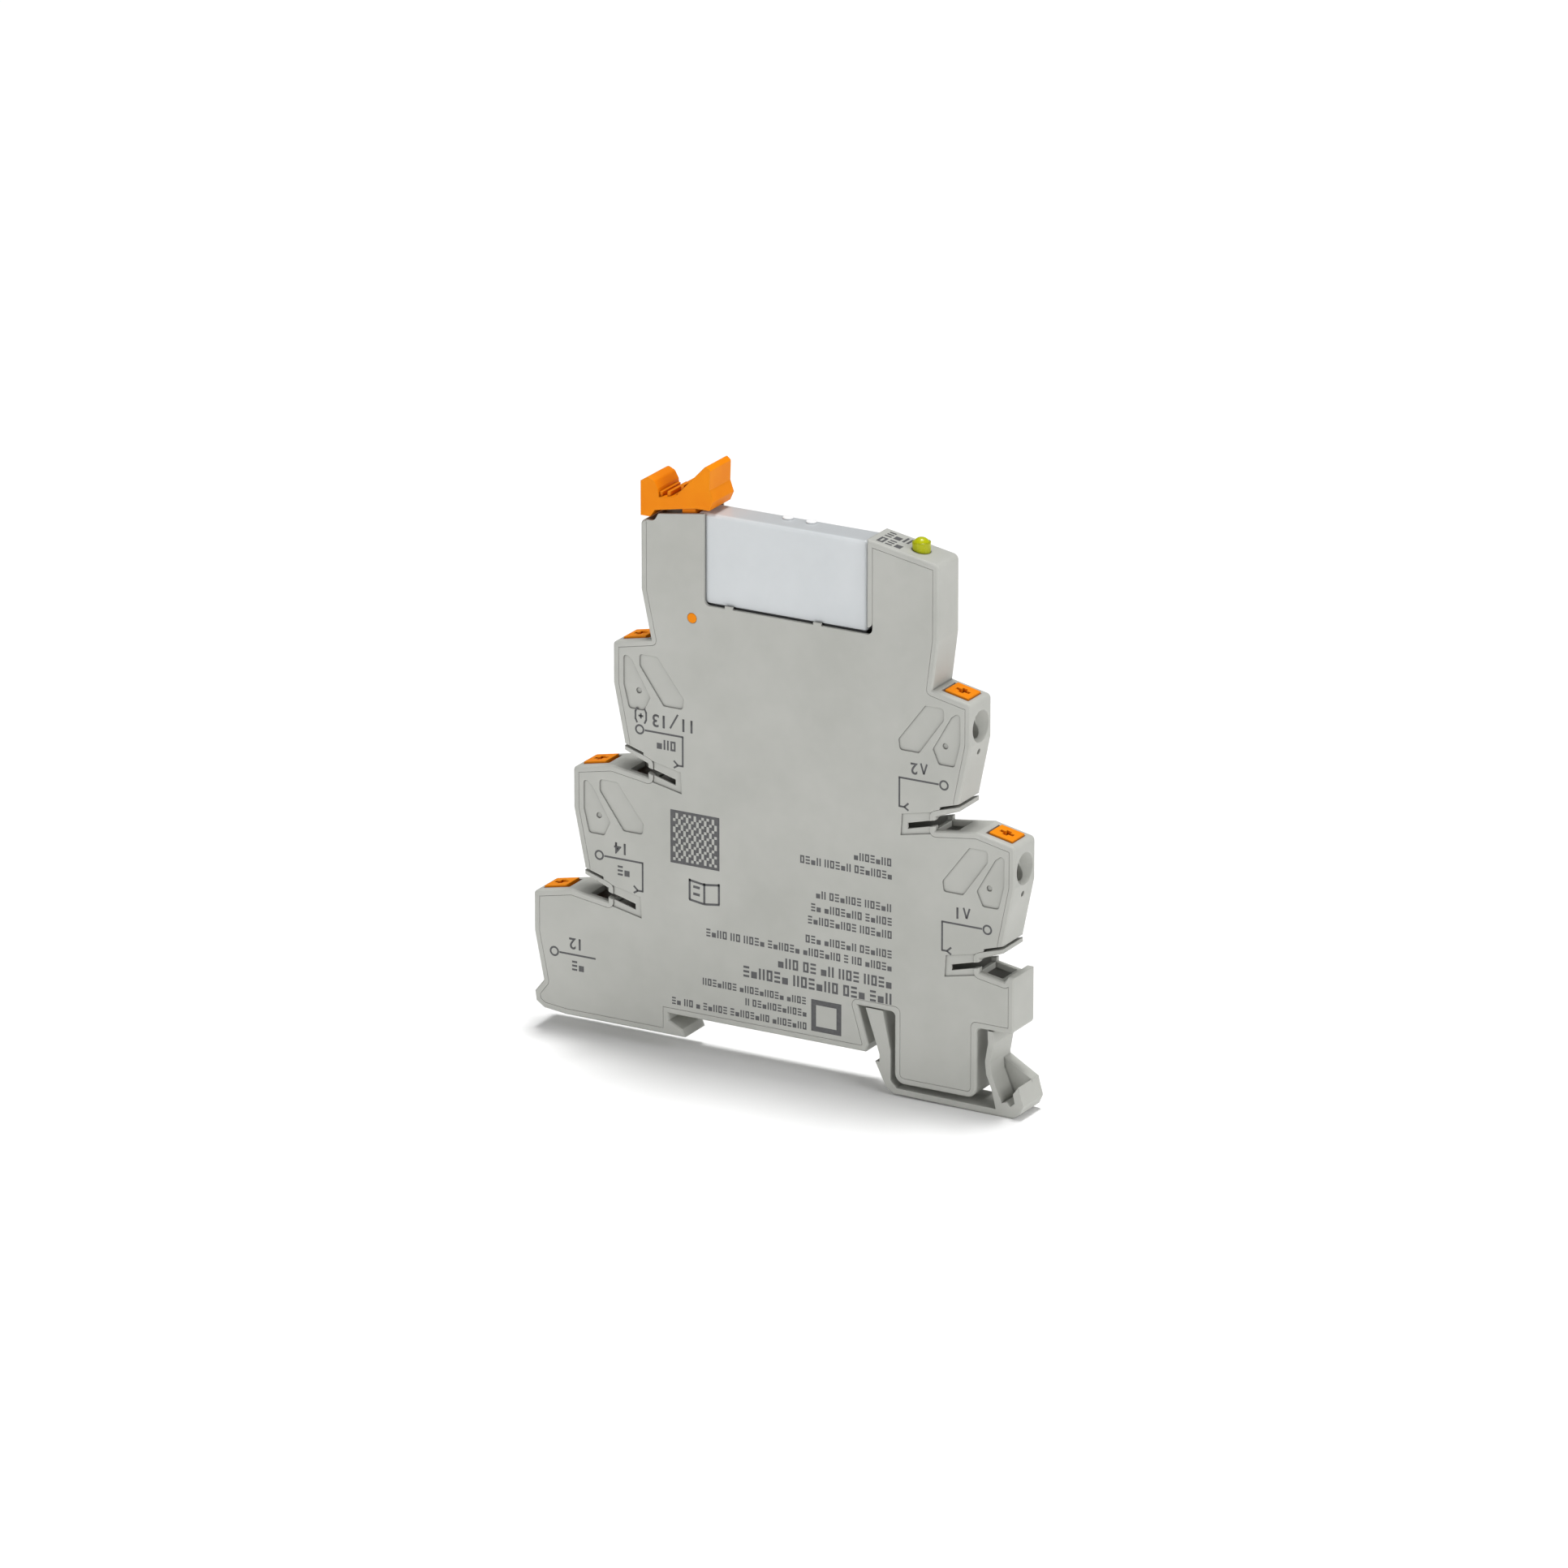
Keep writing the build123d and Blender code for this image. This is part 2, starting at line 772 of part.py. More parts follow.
def rectifier():
    """Small bridge rectifier on the back of the board."""
    board_back = board_front + board_thickness
    middle_x = (board_left + board_right) / 2
    body = brick(middle_x - 2.3, middle_x + 2.3, board_back, board_back + 1.6, 65.4, 69.2)
    body = chamfer(body.edges().filter_by(Axis.Z), 0.3)
    for x in (middle_x - 1.3, middle_x + 1.3):
        body += brick(x - 0.3, x + 0.3, board_back, board_back + 0.3, 64.4, 70.2)
    return body


def series_resistors():
    """Two barrel resistors on the front of the board."""
    middle_x = (board_left + board_right) / 2
    rods = []
    for z in (63.6, 66.8):
        barrel = Cylinder(resistor_radius, resistor_length)
        rods.append(Pos(middle_x, board_front - resistor_radius, z) * Rot(0, 90, 0) * barrel)
    return Compound(rods)


def lamp():
    """Round signal lamp that looks out of the right tower, with its two leads."""
    bottom = (Align.CENTER, Align.CENTER, Align.MIN)
    foot_z = board_top + 0.4
    body = Pos(lamp_x, 0, foot_z) * Cylinder(lamp_radius, lamp_dome_z - foot_z, align=bottom)
    body += Pos(lamp_x, 0, lamp_dome_z) * Sphere(lamp_radius, arc_size1=0)
    for x in (lamp_x - lead_spread, lamp_x + lead_spread):
        x_from, x_to = x - lead_half, x + lead_half
        body += brick(x_from, x_to, board_front - 2 * lead_half, board_front, board_top - 2.0, foot_z + 0.2)
    return body


def relay_case():
    """Moulded cap over the relay, open at the bottom."""
    bottom = relay_seat + base_height
    half = relay_thickness / 2
    cap = brick(relay_left, relay_right, -half, half, bottom, relay_top)
    edges = cap.edges().filter_by(Axis.Z) + cap.faces().sort_by(Axis.Z)[-1].edges()
    cap = fillet(edges, case_round)
    inner = half - case_wall
    roof = relay_top - case_top_wall
    cap -= brick(relay_left + case_wall, relay_right - case_wall, -inner, inner, bottom - slip, roof)
    for x in (0.05, 3.9):
        cap += Pos(x, pip_set_back, relay_top) * Cylinder(pip_radius, 2 * pip_height)
    return cap


def relay_pins():
    half_x = pin_width / 2
    half_y = pin_thickness / 2
    tip = relay_seat - pin_length
    top = relay_seat + base_height + 0.5
    places = {"nc": nc_pin, "common": common_pin, "no": no_pin, "in": coil_pin_inner, "out": coil_pin_outer}
    return {name: brick(x - half_x, x + half_x, -half_y, half_y, tip, top) for name, x in places.items()}


def relay_base():
    """Base plate of the relay with a spigot that fits in the case."""
    half = relay_thickness / 2 - slip
    top = relay_seat + base_height - seam
    plate = brick(relay_left + slip, relay_right - slip, -half, half, relay_seat, top)
    reach = case_wall + seam
    inner = relay_thickness / 2 - reach
    plate += brick(relay_left + reach, relay_right - reach, -inner, inner, top, top + 0.5)
    return plate - list(relay_pins().values())


# Relay works
def coil_bobbin():
    tube_low = core_low - spool_wall
    tube_high = core_high + spool_wall
    spool = brick(coil_left, coil_right, -spool_half, spool_half, tube_low, tube_high)
    for x in (coil_left, coil_right - flange_plate):
        spool += brick(x, x + flange_plate, -flange_half, flange_half, coil_low, coil_high)
    return spool - brick(coil_left - 1, coil_right + 1, -core_half, core_half, core_low, core_high)


def coil_winding():
    x_from = coil_left + flange_plate
    x_to = coil_right - flange_plate
    low = coil_low + winding_gap
    high = coil_high - winding_gap
    wire = brick(x_from, x_to, -winding_half, winding_half, low, high)
    wire = fillet(wire.edges().filter_by(Axis.X), winding_round)
    bore_low = core_low - spool_wall
    bore_high = core_high + spool_wall
    return wire - brick(x_from - 1, x_to + 1, -spool_half, spool_half, bore_low, bore_high)


def magnet_core():
    pole = coil_left - pole_length
    return brick(pole, coil_right + yoke_gap, -core_half, core_half, core_low, core_high)


def magnet_yoke():
    upright = coil_right + yoke_gap
    end = upright + yoke_thickness
    foot_top = works_bottom + yoke_thickness
    yoke = brick(armature_right + card_gap, end, -yoke_half, yoke_half, works_bottom, foot_top)
    return yoke + brick(upright, end, -yoke_half, yoke_half, works_bottom, core_high + winding_gap)


def armature():
    """Iron plate that the core pulls in, with a tongue up into the card."""
    left = armature_right - armature_thickness
    top = card_low - card_gap
    plate = brick(left, armature_right, -armature_half, armature_half, works_bottom + card_gap, top)
    return plate + brick(left, armature_right, -tongue_half, tongue_half, top - slip, card_high - slip)


def actuator_card():
    """Plastic card that carries the armature's stroke to the moving contact."""
    card = brick(common_pin - 1.0, armature_right + 0.6, -card_half, card_half, card_low, card_high)
    left = armature_right - armature_thickness - 1.5 * slip
    right = armature_right + 1.5 * slip
    half = tongue_half + 1.5 * slip
    card -= brick(left, right, -half, half, card_low - 1, card_high + 1)
    half = leaf_neck_half + 1.5 * slip
    return card - brick(common_pin - 0.3, common_pin + 0.3, -half, half, card_low - 1, card_high + 1)


def moving_contact():
    """Springy leaf with a contact button on each face."""
    left = common_pin - leaf_thickness / 2
    right = common_pin + leaf_thickness / 2
    top = card_low - card_gap
    leaf = brick(left, right, -leaf_half, leaf_half, leaf_root + closed_gap, top)
    leaf += brick(left, right, -leaf_neck_half, leaf_neck_half, top - slip, card_high - slip)
    return leaf + Pos(common_pin, 0, contact_z) * Rot(0, 90, 0) * Cylinder(contact_radius, contact_button)


def fixed_contact(pin_x, lean):
    """Fixed contact: its pin, a leaf that leans to the moving contact and a contact button."""
    face_x = common_pin + lean * fixed_offset
    bend_z = leaf_root + 0.5
    route = [(pin_x, relay_seat + 1.0), (pin_x, bend_z), (face_x, bend_z + 2.9), (face_x, contact_top)]
    leaf = strip(route, contact_radius, fixed_thickness, -leaf_half, leaf_half)
    leaf -= brick(pin_x - 1, pin_x + 1, -3, 3, relay_seat, relay_seat + base_height + spigot_height)
    gap = closed_gap if lean < 0 else open_gap
    reach = fixed_offset - contact_button / 2 - gap
    button = Cylinder(contact_radius, reach)
    return leaf + Pos(face_x - lean * reach / 2, 0, contact_z) * Rot(0, 90, 0) * button


def relay_contacts():
    """Three contact pieces and the coil's two pins."""
    pins = relay_pins()
    holder_low = relay_seat + base_height + spigot_height
    holder = brick(common_pin - 0.5, common_pin + 0.5, -1.4, 1.4, holder_low, leaf_root)
    return {
        "contact_nc": pins["nc"] + fixed_contact(nc_pin, -1),
        "contact_no": pins["no"] + fixed_contact(no_pin, 1),
        "contact_common": pins["common"] + holder,
        "coil_pins": Compound([pins["in"], pins["out"]]),
    }


nodes = {
    "housing_shell": housing_shell(),
    "side_cover": side_cover(),
    "rail_latch": rail_latch(),
    "ejector_lever": ejector_lever(),
    "circuit_board": circuit_board(),
    "rectifier": rectifier(),
    "series_resistors": series_resistors(),
    "signal_lamp": lamp(),
    "coil_socket_inner": coil_socket(coil_pin_inner, socket_bottom - 1.0),
    "coil_socket_outer": coil_socket(coil_pin_outer, socket_bottom + 0.4),
    "relay_case": relay_case(),
    "relay_base": relay_base(),
    "coil_bobbin": coil_bobbin(),
    "coil_winding": coil_winding(),
    "magnet_core": magnet_core(),
    "magnet_yoke": magnet_yoke(),
    "armature": armature(),
    "actuator_card": actuator_card(),
    "moving_contact": moving_contact(),
}
nodes.update(relay_contacts())
for name, place in HEADS.items():
    nodes[f"release_button_{name}"] = release_button(*place)
    nodes[f"clamp_spring_{name}"] = clamp_spring(*place)
    nodes[f"current_bar_{name}"] = current_bar(name)

os.makedirs("parts", exist_ok=True)
for name, shape in nodes.items():
    export_step(shape, f"parts/{name}.step")
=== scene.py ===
# Plug-in relay on its slim terminal base, standing on a pale studio floor.
import bpy
import math
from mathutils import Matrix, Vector


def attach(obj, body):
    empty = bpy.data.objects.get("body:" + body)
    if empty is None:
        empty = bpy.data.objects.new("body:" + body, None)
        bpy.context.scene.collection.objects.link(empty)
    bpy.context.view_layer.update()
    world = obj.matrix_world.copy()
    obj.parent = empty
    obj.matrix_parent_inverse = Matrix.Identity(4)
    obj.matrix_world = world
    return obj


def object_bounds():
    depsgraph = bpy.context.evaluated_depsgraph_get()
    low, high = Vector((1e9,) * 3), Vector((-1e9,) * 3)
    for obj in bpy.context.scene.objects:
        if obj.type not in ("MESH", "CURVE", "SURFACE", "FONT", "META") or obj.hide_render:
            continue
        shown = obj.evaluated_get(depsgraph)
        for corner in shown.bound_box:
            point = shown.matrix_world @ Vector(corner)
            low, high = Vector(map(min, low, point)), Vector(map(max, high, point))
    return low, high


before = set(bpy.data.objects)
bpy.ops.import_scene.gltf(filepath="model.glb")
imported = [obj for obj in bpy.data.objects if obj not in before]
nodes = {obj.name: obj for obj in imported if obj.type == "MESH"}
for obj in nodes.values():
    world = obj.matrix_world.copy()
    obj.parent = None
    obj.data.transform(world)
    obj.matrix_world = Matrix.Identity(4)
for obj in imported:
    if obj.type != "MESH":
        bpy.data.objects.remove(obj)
cad_low, cad_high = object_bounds()
MM = 0.001

# Housing: a tray, a flat cover that snaps into it and the rail latch, all moulded in warm grey
# glass-filled nylon. The mould's spark-eroded skin leaves a fine grain, the sprue leaves faint
# clouds and handling polishes the arrises. The crevices are darkened with painted shade.
# Reach and strength of the painted shade that darkens crevices and recesses.
worn_edge = 0.22 * MM
painted_shade_reach = 0.45 * MM
painted_shade_tone = 0.5


def add_node(tree, kind, **settings):
    """A shader node with the given properties and input values."""
    made = tree.nodes.new(kind)
    for key, value in settings.items():
        if hasattr(made, key):
            setattr(made, key, value)
        else:
            made.inputs[key.replace("_", " ")].default_value = value
    return made


def moulded(name, deep, pale, arris, roughness, grain, cloud_size=14 * MM):
    """Moulded plastic with soft clouds of tone, a fine grain, lighter worn edges and painted shade
    darkening its crevices.
    """
    material = bpy.data.materials.new(name)
    material.use_nodes = True
    tree = material.node_tree
    shader = tree.nodes["Principled BSDF"]
    place = add_node(tree, "ShaderNodeTexCoord").outputs["Object"]
    clouds = add_node(tree, "ShaderNodeTexNoise", Scale=1 / cloud_size, Detail=4.0, Roughness=0.6)
    skin = add_node(tree, "ShaderNodeTexNoise", Scale=1 / grain, Detail=3.0, Roughness=0.55)
    for texture in (clouds, skin):
        tree.links.new(place, texture.inputs["Vector"])
    tone = add_node(tree, "ShaderNodeMix", data_type="RGBA")
    tone.inputs["A"].default_value = deep
    tone.inputs["B"].default_value = pale
    spread = add_node(tree, "ShaderNodeMapRange", From_Min=0.35, From_Max=0.65)
    tree.links.new(clouds.outputs["Fac"], spread.inputs["Value"])
    tree.links.new(spread.outputs["Result"], tone.inputs["Factor"])
    rounded = add_node(tree, "ShaderNodeBevel", samples=6, Radius=worn_edge)
    true_normal = add_node(tree, "ShaderNodeNewGeometry").outputs["Normal"]
    agreement = add_node(tree, "ShaderNodeVectorMath", operation="DOT_PRODUCT")
    tree.links.new(rounded.outputs["Normal"], agreement.inputs[0])
    tree.links.new(true_normal, agreement.inputs[1])
    edge = add_node(tree, "ShaderNodeMapRange", From_Min=0.995, From_Max=0.86)
    tree.links.new(agreement.outputs["Value"], edge.inputs["Value"])
    uneven = add_node(tree, "ShaderNodeMath", operation="MULTIPLY")
    tree.links.new(edge.outputs["Result"], uneven.inputs[0])
    tree.links.new(clouds.outputs["Fac"], uneven.inputs[1])
    worn = add_node(tree, "ShaderNodeMix", data_type="RGBA")
    worn.inputs["B"].default_value = arris
    tree.links.new(uneven.outputs["Value"], worn.inputs["Factor"])
    tree.links.new(tone.outputs["Result"], worn.inputs["A"])
    # Painted shade: an ambient-occlusion mask darkens the colour in crevices and recesses, down to half of
    # the deep tone.
    painted_shade_occlusion = add_node(tree, "ShaderNodeAmbientOcclusion", samples=8, Distance=painted_shade_reach)
    painted_shade_occlusion.inputs["Color"].default_value = (1.0, 1.0, 1.0, 1.0)
    painted_shade_openness = add_node(tree, "ShaderNodeMapRange", From_Min=0.45, From_Max=0.92)
    tree.links.new(painted_shade_occlusion.outputs["AO"], painted_shade_openness.inputs["Value"])
    painted_shade_mix = add_node(tree, "ShaderNodeMix", data_type="RGBA")
    painted_shade_mix.inputs["A"].default_value = [part * painted_shade_tone for part in deep[:3]] + [1.0]
    tree.links.new(painted_shade_openness.outputs["Result"], painted_shade_mix.inputs["Factor"])
    tree.links.new(worn.outputs["Result"], painted_shade_mix.inputs["B"])
    tree.links.new(painted_shade_mix.outputs["Result"], shader.inputs["Base Color"])
    sheen = add_node(tree, "ShaderNodeMapRange", To_Min=roughness - 0.06, To_Max=roughness + 0.08)
    tree.links.new(skin.outputs["Fac"], sheen.inputs["Value"])
    tree.links.new(sheen.outputs["Result"], shader.inputs["Roughness"])
    relief = add_node(tree, "ShaderNodeBump", Strength=0.35, Distance=grain * 0.12)
    tree.links.new(skin.outputs["Fac"], relief.inputs["Height"])
    tree.links.new(rounded.outputs["Normal"], relief.inputs["Normal"])
    tree.links.new(relief.outputs["Normal"], shader.inputs["Normal"])
    return material


def dress(material, *names):
    """Gives a material to whole pieces of the frame."""
    for name in names:
        for slot in nodes[name].material_slots:
            slot.material = material


housing_plastic = moulded(
    "grey_glass_filled_nylon",
    deep=(0.392, 0.396, 0.366, 1.0),
    pale=(0.438, 0.441, 0.411, 1.0),
    arris=(0.560, 0.560, 0.525, 1.0),
    roughness=0.52,
    grain=0.16 * MM,
)
dress(housing_plastic, "housing_shell", "side_cover", "rail_latch")

# Print on the cover: dark grey ink pressed on by a pad. It draws the circuit's lines and terminal
# rings upside down to the rail, with plain numbers and rows of plain block signs.
cover_face = cad_low.y
number_boldness = 0.04 * MM
number_cap_height = 0.7
ink_film = 0.012 * MM
line_width = 0.28 * MM
thick_line = 0.34 * MM
bar_line = 0.4 * MM
frame_line = 0.8 * MM
ring_radius = 0.78 * MM
ring_gap = 0.85
corner_overlap = 0.12
fork_foot = 0.85
fork_root = 0.8
fork_tip = 1.5
sign_rows = 5
sign_pitch = 4
sign_stretch = 0.95
word_gap = 0.52
outward = (0, -1, 0)
upright = (math.pi / 2, 0, 0)
upside_down = (math.pi / 2, math.pi, 0)
printed = []


def deselect():
    """Leaves no object selected."""
    for chosen in list(bpy.context.selected_objects):
        chosen.select_set(False)


def settle(piece):
    """Puts a new piece's place, turn and size into its mesh."""
    deselect()
    piece.select_set(True)
    bpy.context.view_layer.objects.active = piece
    bpy.ops.object.transform_apply(location=True, rotation=True, scale=True)


def join_as(name, pieces):
    """Joins pieces into one under a plain name."""
    deselect()
    for piece in pieces:
        piece.select_set(True)
    bpy.context.view_layer.objects.active = pieces[0]
    bpy.ops.object.join()
    bpy.context.object.name = name
    return bpy.context.object


def press_out(height, way=outward):
    """Gives flat print its film of ink, out from the face that it lies on."""
    shift = [height * part for part in way]
    bpy.ops.object.mode_set(mode="EDIT")
    bpy.ops.mesh.select_all(action="SELECT")
    bpy.ops.mesh.extrude_region_move(TRANSFORM_OT_translate={"value": shift})
    bpy.ops.mesh.select_all(action="SELECT")
    bpy.ops.mesh.normals_make_consistent(inside=False)
    bpy.ops.object.mode_set(mode="OBJECT")


def stroke(x_from, z_from, x_to, z_to, width=line_width):
    """One straight line of ink between two points of the cover, in millimetres."""
    run = Vector((x_to - x_from, z_to - z_from)) * MM
    middle = ((x_from + x_to) / 2 * MM, cover_face, (z_from + z_to) / 2 * MM)
    turn = (math.pi / 2, -math.atan2(run.y, run.x), 0)
    deselect()
    bpy.ops.mesh.primitive_plane_add(size=1, location=middle, rotation=turn)
    line = bpy.context.object
    line.scale = (run.length, width, 1)
    settle(line)
    press_out(ink_film)
    printed.append(line)


def ring(x, z):
    """A terminal's ring of ink."""
    deselect()
    spot = (x * MM, cover_face, z * MM)
    bpy.ops.mesh.primitive_circle_add(
        vertices=32, radius=ring_radius, fill_type="NGON", location=spot, rotation=upright
    )
    circle = bpy.context.object
    settle(circle)
    bpy.ops.object.mode_set(mode="EDIT")
    bpy.ops.mesh.select_all(action="SELECT")
    bpy.ops.mesh.inset(thickness=line_width)
    bpy.ops.mesh.delete(type="FACE")
    bpy.ops.object.mode_set(mode="OBJECT")
    press_out(ink_film)
    printed.append(circle)


def number(word, x, z, height):
    """A plain number, centred on a point of the cover."""
    deselect()
    bpy.ops.object.text_add(location=(x * MM, cover_face, z * MM), rotation=upside_down)
    label = bpy.context.object
    label.data.body = word
    label.data.size = height * MM / number_cap_height
    label.data.align_x = "CENTER"
    label.data.align_y = "CENTER"
    label.data.resolution_u = 4
    label.data.offset = number_boldness
    bpy.ops.object.convert(target="MESH")
    label = bpy.context.object
    settle(label)
    press_out(ink_film)
    printed.append(label)


def switch_sign(x, z, reach, drop):
    """Ring, line and forked end of one contact, down to the bridge slot."""
    ring(x, z)
    side = math.copysign(1, reach)
    corner = x + reach
    low = z - drop
    stroke(x + side * ring_gap, z, corner + side * corner_overlap, z)
    stroke(corner, z, corner, low - corner_overlap)
    stroke(corner, low, corner - side * fork_foot, low)
    stroke(corner - side * fork_root, low, corner - side * fork_tip, low + 0.65)
    stroke(corner - side * fork_root, low, corner - side * fork_tip, low - 0.45)


switch_sign(-22.3, 43.2, 7.2, 4.5)
switch_sign(-29.2, 22.6, 7.3, 4.4)
switch_sign(28.1, 43.2, -7.3, 4.4)
switch_sign(35.3, 22.4, -7.4, 4.4)
ring(-36.9, 6.3)
stroke(-36.05, 6.3, -29.9, 6.3)

# The terminals' numbers, a slash between two of them, open triangles, and a plus in brackets.
number("11", -14.3, 45.1, 1.9)
number("13", -18.95, 45.1, 1.9)
stroke(-17.2, 44.2, -15.9, 46.5)
number("14", -25.5, 24.3, 1.7)
number("12", -33.2, 8.1, 1.7)
number("2", 23.2, 45.0, 1.7)
number("1", 30.4, 24.2, 1.7)
for x, z in ((24.8, 45.1), (31.9, 24.3)):
    stroke(x - 0.5, z + 0.8, x, z - 0.8)
    stroke(x + 0.5, z + 0.8, x, z - 0.8)
stroke(-22.5, 45.3, -21.7, 45.3)
stroke(-22.1, 44.9, -22.1, 45.7)
for x, side in ((-23.0, 1), (-21.2, -1)):
    stroke(x + side * 0.3, 46.5, x, 45.9)
    stroke(x, 46.0, x, 44.7)
    stroke(x, 44.8, x + side * 0.3, 44.2)


def sign_cell(sign, column, row):
    """Whether a plain block sign has ink in one of its cells, three across and five up."""
    if sign % 4 == 0:
        return column != 1 or row in (0, 4)
    if sign % 4 == 1:
        return row in (0, 2, 4)
    if sign % 4 == 2:
        return row < 3
    return column != 1


def clear_cells(piece, size, across, up, is_bare):
    """Deletes the cells of a flat grid that hold no ink."""
    bpy.context.tool_settings.mesh_select_mode = (False, False, True)
    for cell in piece.data.polygons:
        column = int((cell.center.x / size + 0.5) * across)
        row = int((cell.center.y / size + 0.5) * up)
        cell.select = is_bare(column, row)
    bpy.ops.object.mode_set(mode="EDIT")
    bpy.ops.mesh.delete(type="FACE")
    bpy.ops.object.mode_set(mode="OBJECT")


def word_width(count, height):
    """Width of a word of block signs, with a bare column between two signs."""
    return (sign_pitch * count - 1) * height / sign_rows * sign_stretch


def block_signs(first, count, height, spot, turn, way):
    """A word of plain block signs, which lie on a face that looks one way."""
    columns = sign_pitch * count - 1

    def is_bare(column, row):
        """Whether a cell lies between two signs, or is left out of a sign."""
        place = column % sign_pitch
        return place == sign_pitch - 1 or not sign_cell(first + column // sign_pitch, place, row)

    deselect()
    bpy.ops.mesh.primitive_grid_add(
        x_subdivisions=columns, y_subdivisions=sign_rows, size=1, location=spot, rotation=turn
    )
    word = bpy.context.object
    clear_cells(word, 1, columns, sign_rows, is_bare)
    word.scale = (word_width(count, height) * MM, height * MM, 1)
    settle(word)
    press_out(ink_film, way)
    printed.append(word)


def small_type(x_right, z, height, words):
    """A line of block signs on the cover, from the right to the left as the print hangs upside down."""
    x = x_right
    first = round(z)
    for count in words:
        width = word_width(count, height)
        spot = ((x - width / 2) * MM, cover_face, z * MM)
        block_signs(first, count, height, spot, upright, outward)
        first += count
        x -= width + word_gap * height


small_type(-16.3, 41.5, 1.5, (3,))
small_type(-24.1, 20.8, 1.5, (2,))
small_type(-31.9, 4.6, 1.5, (2,))
small_type(19.5, 29.9, 1.2, (7,))
small_type(19.6, 27.9, 1.2, (7, 5, 4))
small_type(19.5, 22.9, 1.2, (5, 6, 2))
small_type(19.6, 20.8, 1.2, (5, 7, 2))
small_type(19.6, 18.8, 1.2, (6, 9))
small_type(19.6, 15.8, 1.2, (6, 6, 3))
small_type(19.6, 13.8, 1.2, (5, 2, 1, 7, 6, 4, 2, 4))
small_type(19.6, 11.3, 1.6, (4, 3, 2, 2, 3))
small_type(19.6, 8.9, 1.7, (3, 3, 6, 6))
small_type(5.4, 6.1, 1.1, (4, 9, 7))
small_type(5.5, 4.2, 1.1, (11, 1))
small_type(5.5, 2.2, 1.1, (7, 8, 5, 1, 2, 2))

# Two short words on the right tower's sloping top, beside the lamp.
tower_top = 78.3
tower_fall = 2.1
tower_length = 11.7
tower_slope = math.atan2(tower_fall, tower_length)
tower_normal = (math.sin(tower_slope), 0, math.cos(tower_slope))
signs_inset = 2.95
signs_x = 18.3
signs_z = tower_top - signs_inset * math.tan(tower_slope)
signs_height = 1.9
for row, y in enumerate((-1.25, 1.25)):
    spot = (signs_x * MM, y * MM, signs_z * MM)
    block_signs(row, 3, signs_height, spot, (0, tower_slope, 0), tower_normal)

# A square field of cells in a plain regular pattern.
field_middle = (-13.1 * MM, cover_face, 27.7 * MM)
field_side = 8.2 * MM
field_cells = 19
deselect()
bpy.ops.mesh.primitive_grid_add(
    x_subdivisions=field_cells,
    y_subdivisions=field_cells,
    size=field_side,
    location=field_middle,
    rotation=upright,
)
field = bpy.context.object


def is_field_gap(column, row):
    """Whether a cell inside the regular field is bare. Its border is solid."""
    inside = 0 < min(column, row) and max(column, row) < field_cells - 1
    return inside and (3 * column + 5 * row) % 7 < 3


clear_cells(field, field_side, field_cells, field_cells, is_field_gap)
settle(field)
press_out(ink_film)
printed.append(field)

# A framed square, and an open booklet with two bars on its page.
for z in (2.1, 6.2):
    stroke(6.3, z, 11.3, z, frame_line)
for x in (6.7, 10.9):
    stroke(x, 2.5, x, 5.8, frame_line)
for x, lean in ((-14.0, 0.0), (-11.55, -0.3), (-9.1, 0.0)):
    stroke(x, 18.4 + lean, x, 21.6 + lean, thick_line)
for z in (18.4, 21.4):
    stroke(-14.1, z, -11.55, z - 0.35, thick_line)
    stroke(-11.55, z - 0.35, -9.0, z, thick_line)
for z in (19.4, 20.5):
    stroke(-13.4, z, -12.3, z - 0.1, bar_line)

pad_print = join_as("pad_print", printed)
ink_blotch = 0.5 * MM
ink = bpy.data.materials.new("dark_grey_pad_ink")
ink.use_nodes = True
ink_shader = ink.node_tree.nodes["Principled BSDF"]
ink_place = add_node(ink.node_tree, "ShaderNodeTexCoord").outputs["Object"]
ink_wear = add_node(ink.node_tree, "ShaderNodeTexNoise", Scale=1 / ink_blotch, Detail=5.0, Roughness=0.7)
ink_tone = add_node(ink.node_tree, "ShaderNodeMix", data_type="RGBA")
ink_tone.inputs["A"].default_value = (0.045, 0.045, 0.048, 1.0)
ink_tone.inputs["B"].default_value = (0.115, 0.115, 0.118, 1.0)
ink.node_tree.links.new(ink_place, ink_wear.inputs["Vector"])
ink.node_tree.links.new(ink_wear.outputs["Fac"], ink_tone.inputs["Factor"])
ink.node_tree.links.new(ink_tone.outputs["Result"], ink_shader.inputs["Base Color"])
ink_shader.inputs["Roughness"].default_value = 0.6
pad_print.data.materials.clear()
pad_print.data.materials.append(ink)
for face in pad_print.data.polygons:
    face.material_index = 0
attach(pad_print, "housing")

# Ejector lever and release buttons: orange nylon with a softer sheen than the grey. The lever turns on
# two stub pins in the housing's walls, the buttons drop in from above, and three ribs cross the
# valley of the lever's label carrier.
orange_plastic = moulded(
    "orange_nylon",
    deep=(0.775, 0.198, 0.000, 1.0),
    pale=(0.830, 0.252, 0.000, 1.0),
    arris=(0.950, 0.360, 0.020, 1.0),
    roughness=0.50,
    grain=0.2 * MM,
)
orange_plastic.node_tree.nodes["Principled BSDF"].inputs["Specular IOR Level"].default_value = 0.12
buttons = [name for name in nodes if name.startswith("release_button")]
dress(orange_plastic, "ejector_lever", *buttons)
ribs = []
valley_end = -16.3
valley_top = 79.7
valley_rise = 0.185
horn_rise = 1.06
rib_lift = 0.1
rib_size = (0.5 * MM, 5.4 * MM, 1.2 * MM)
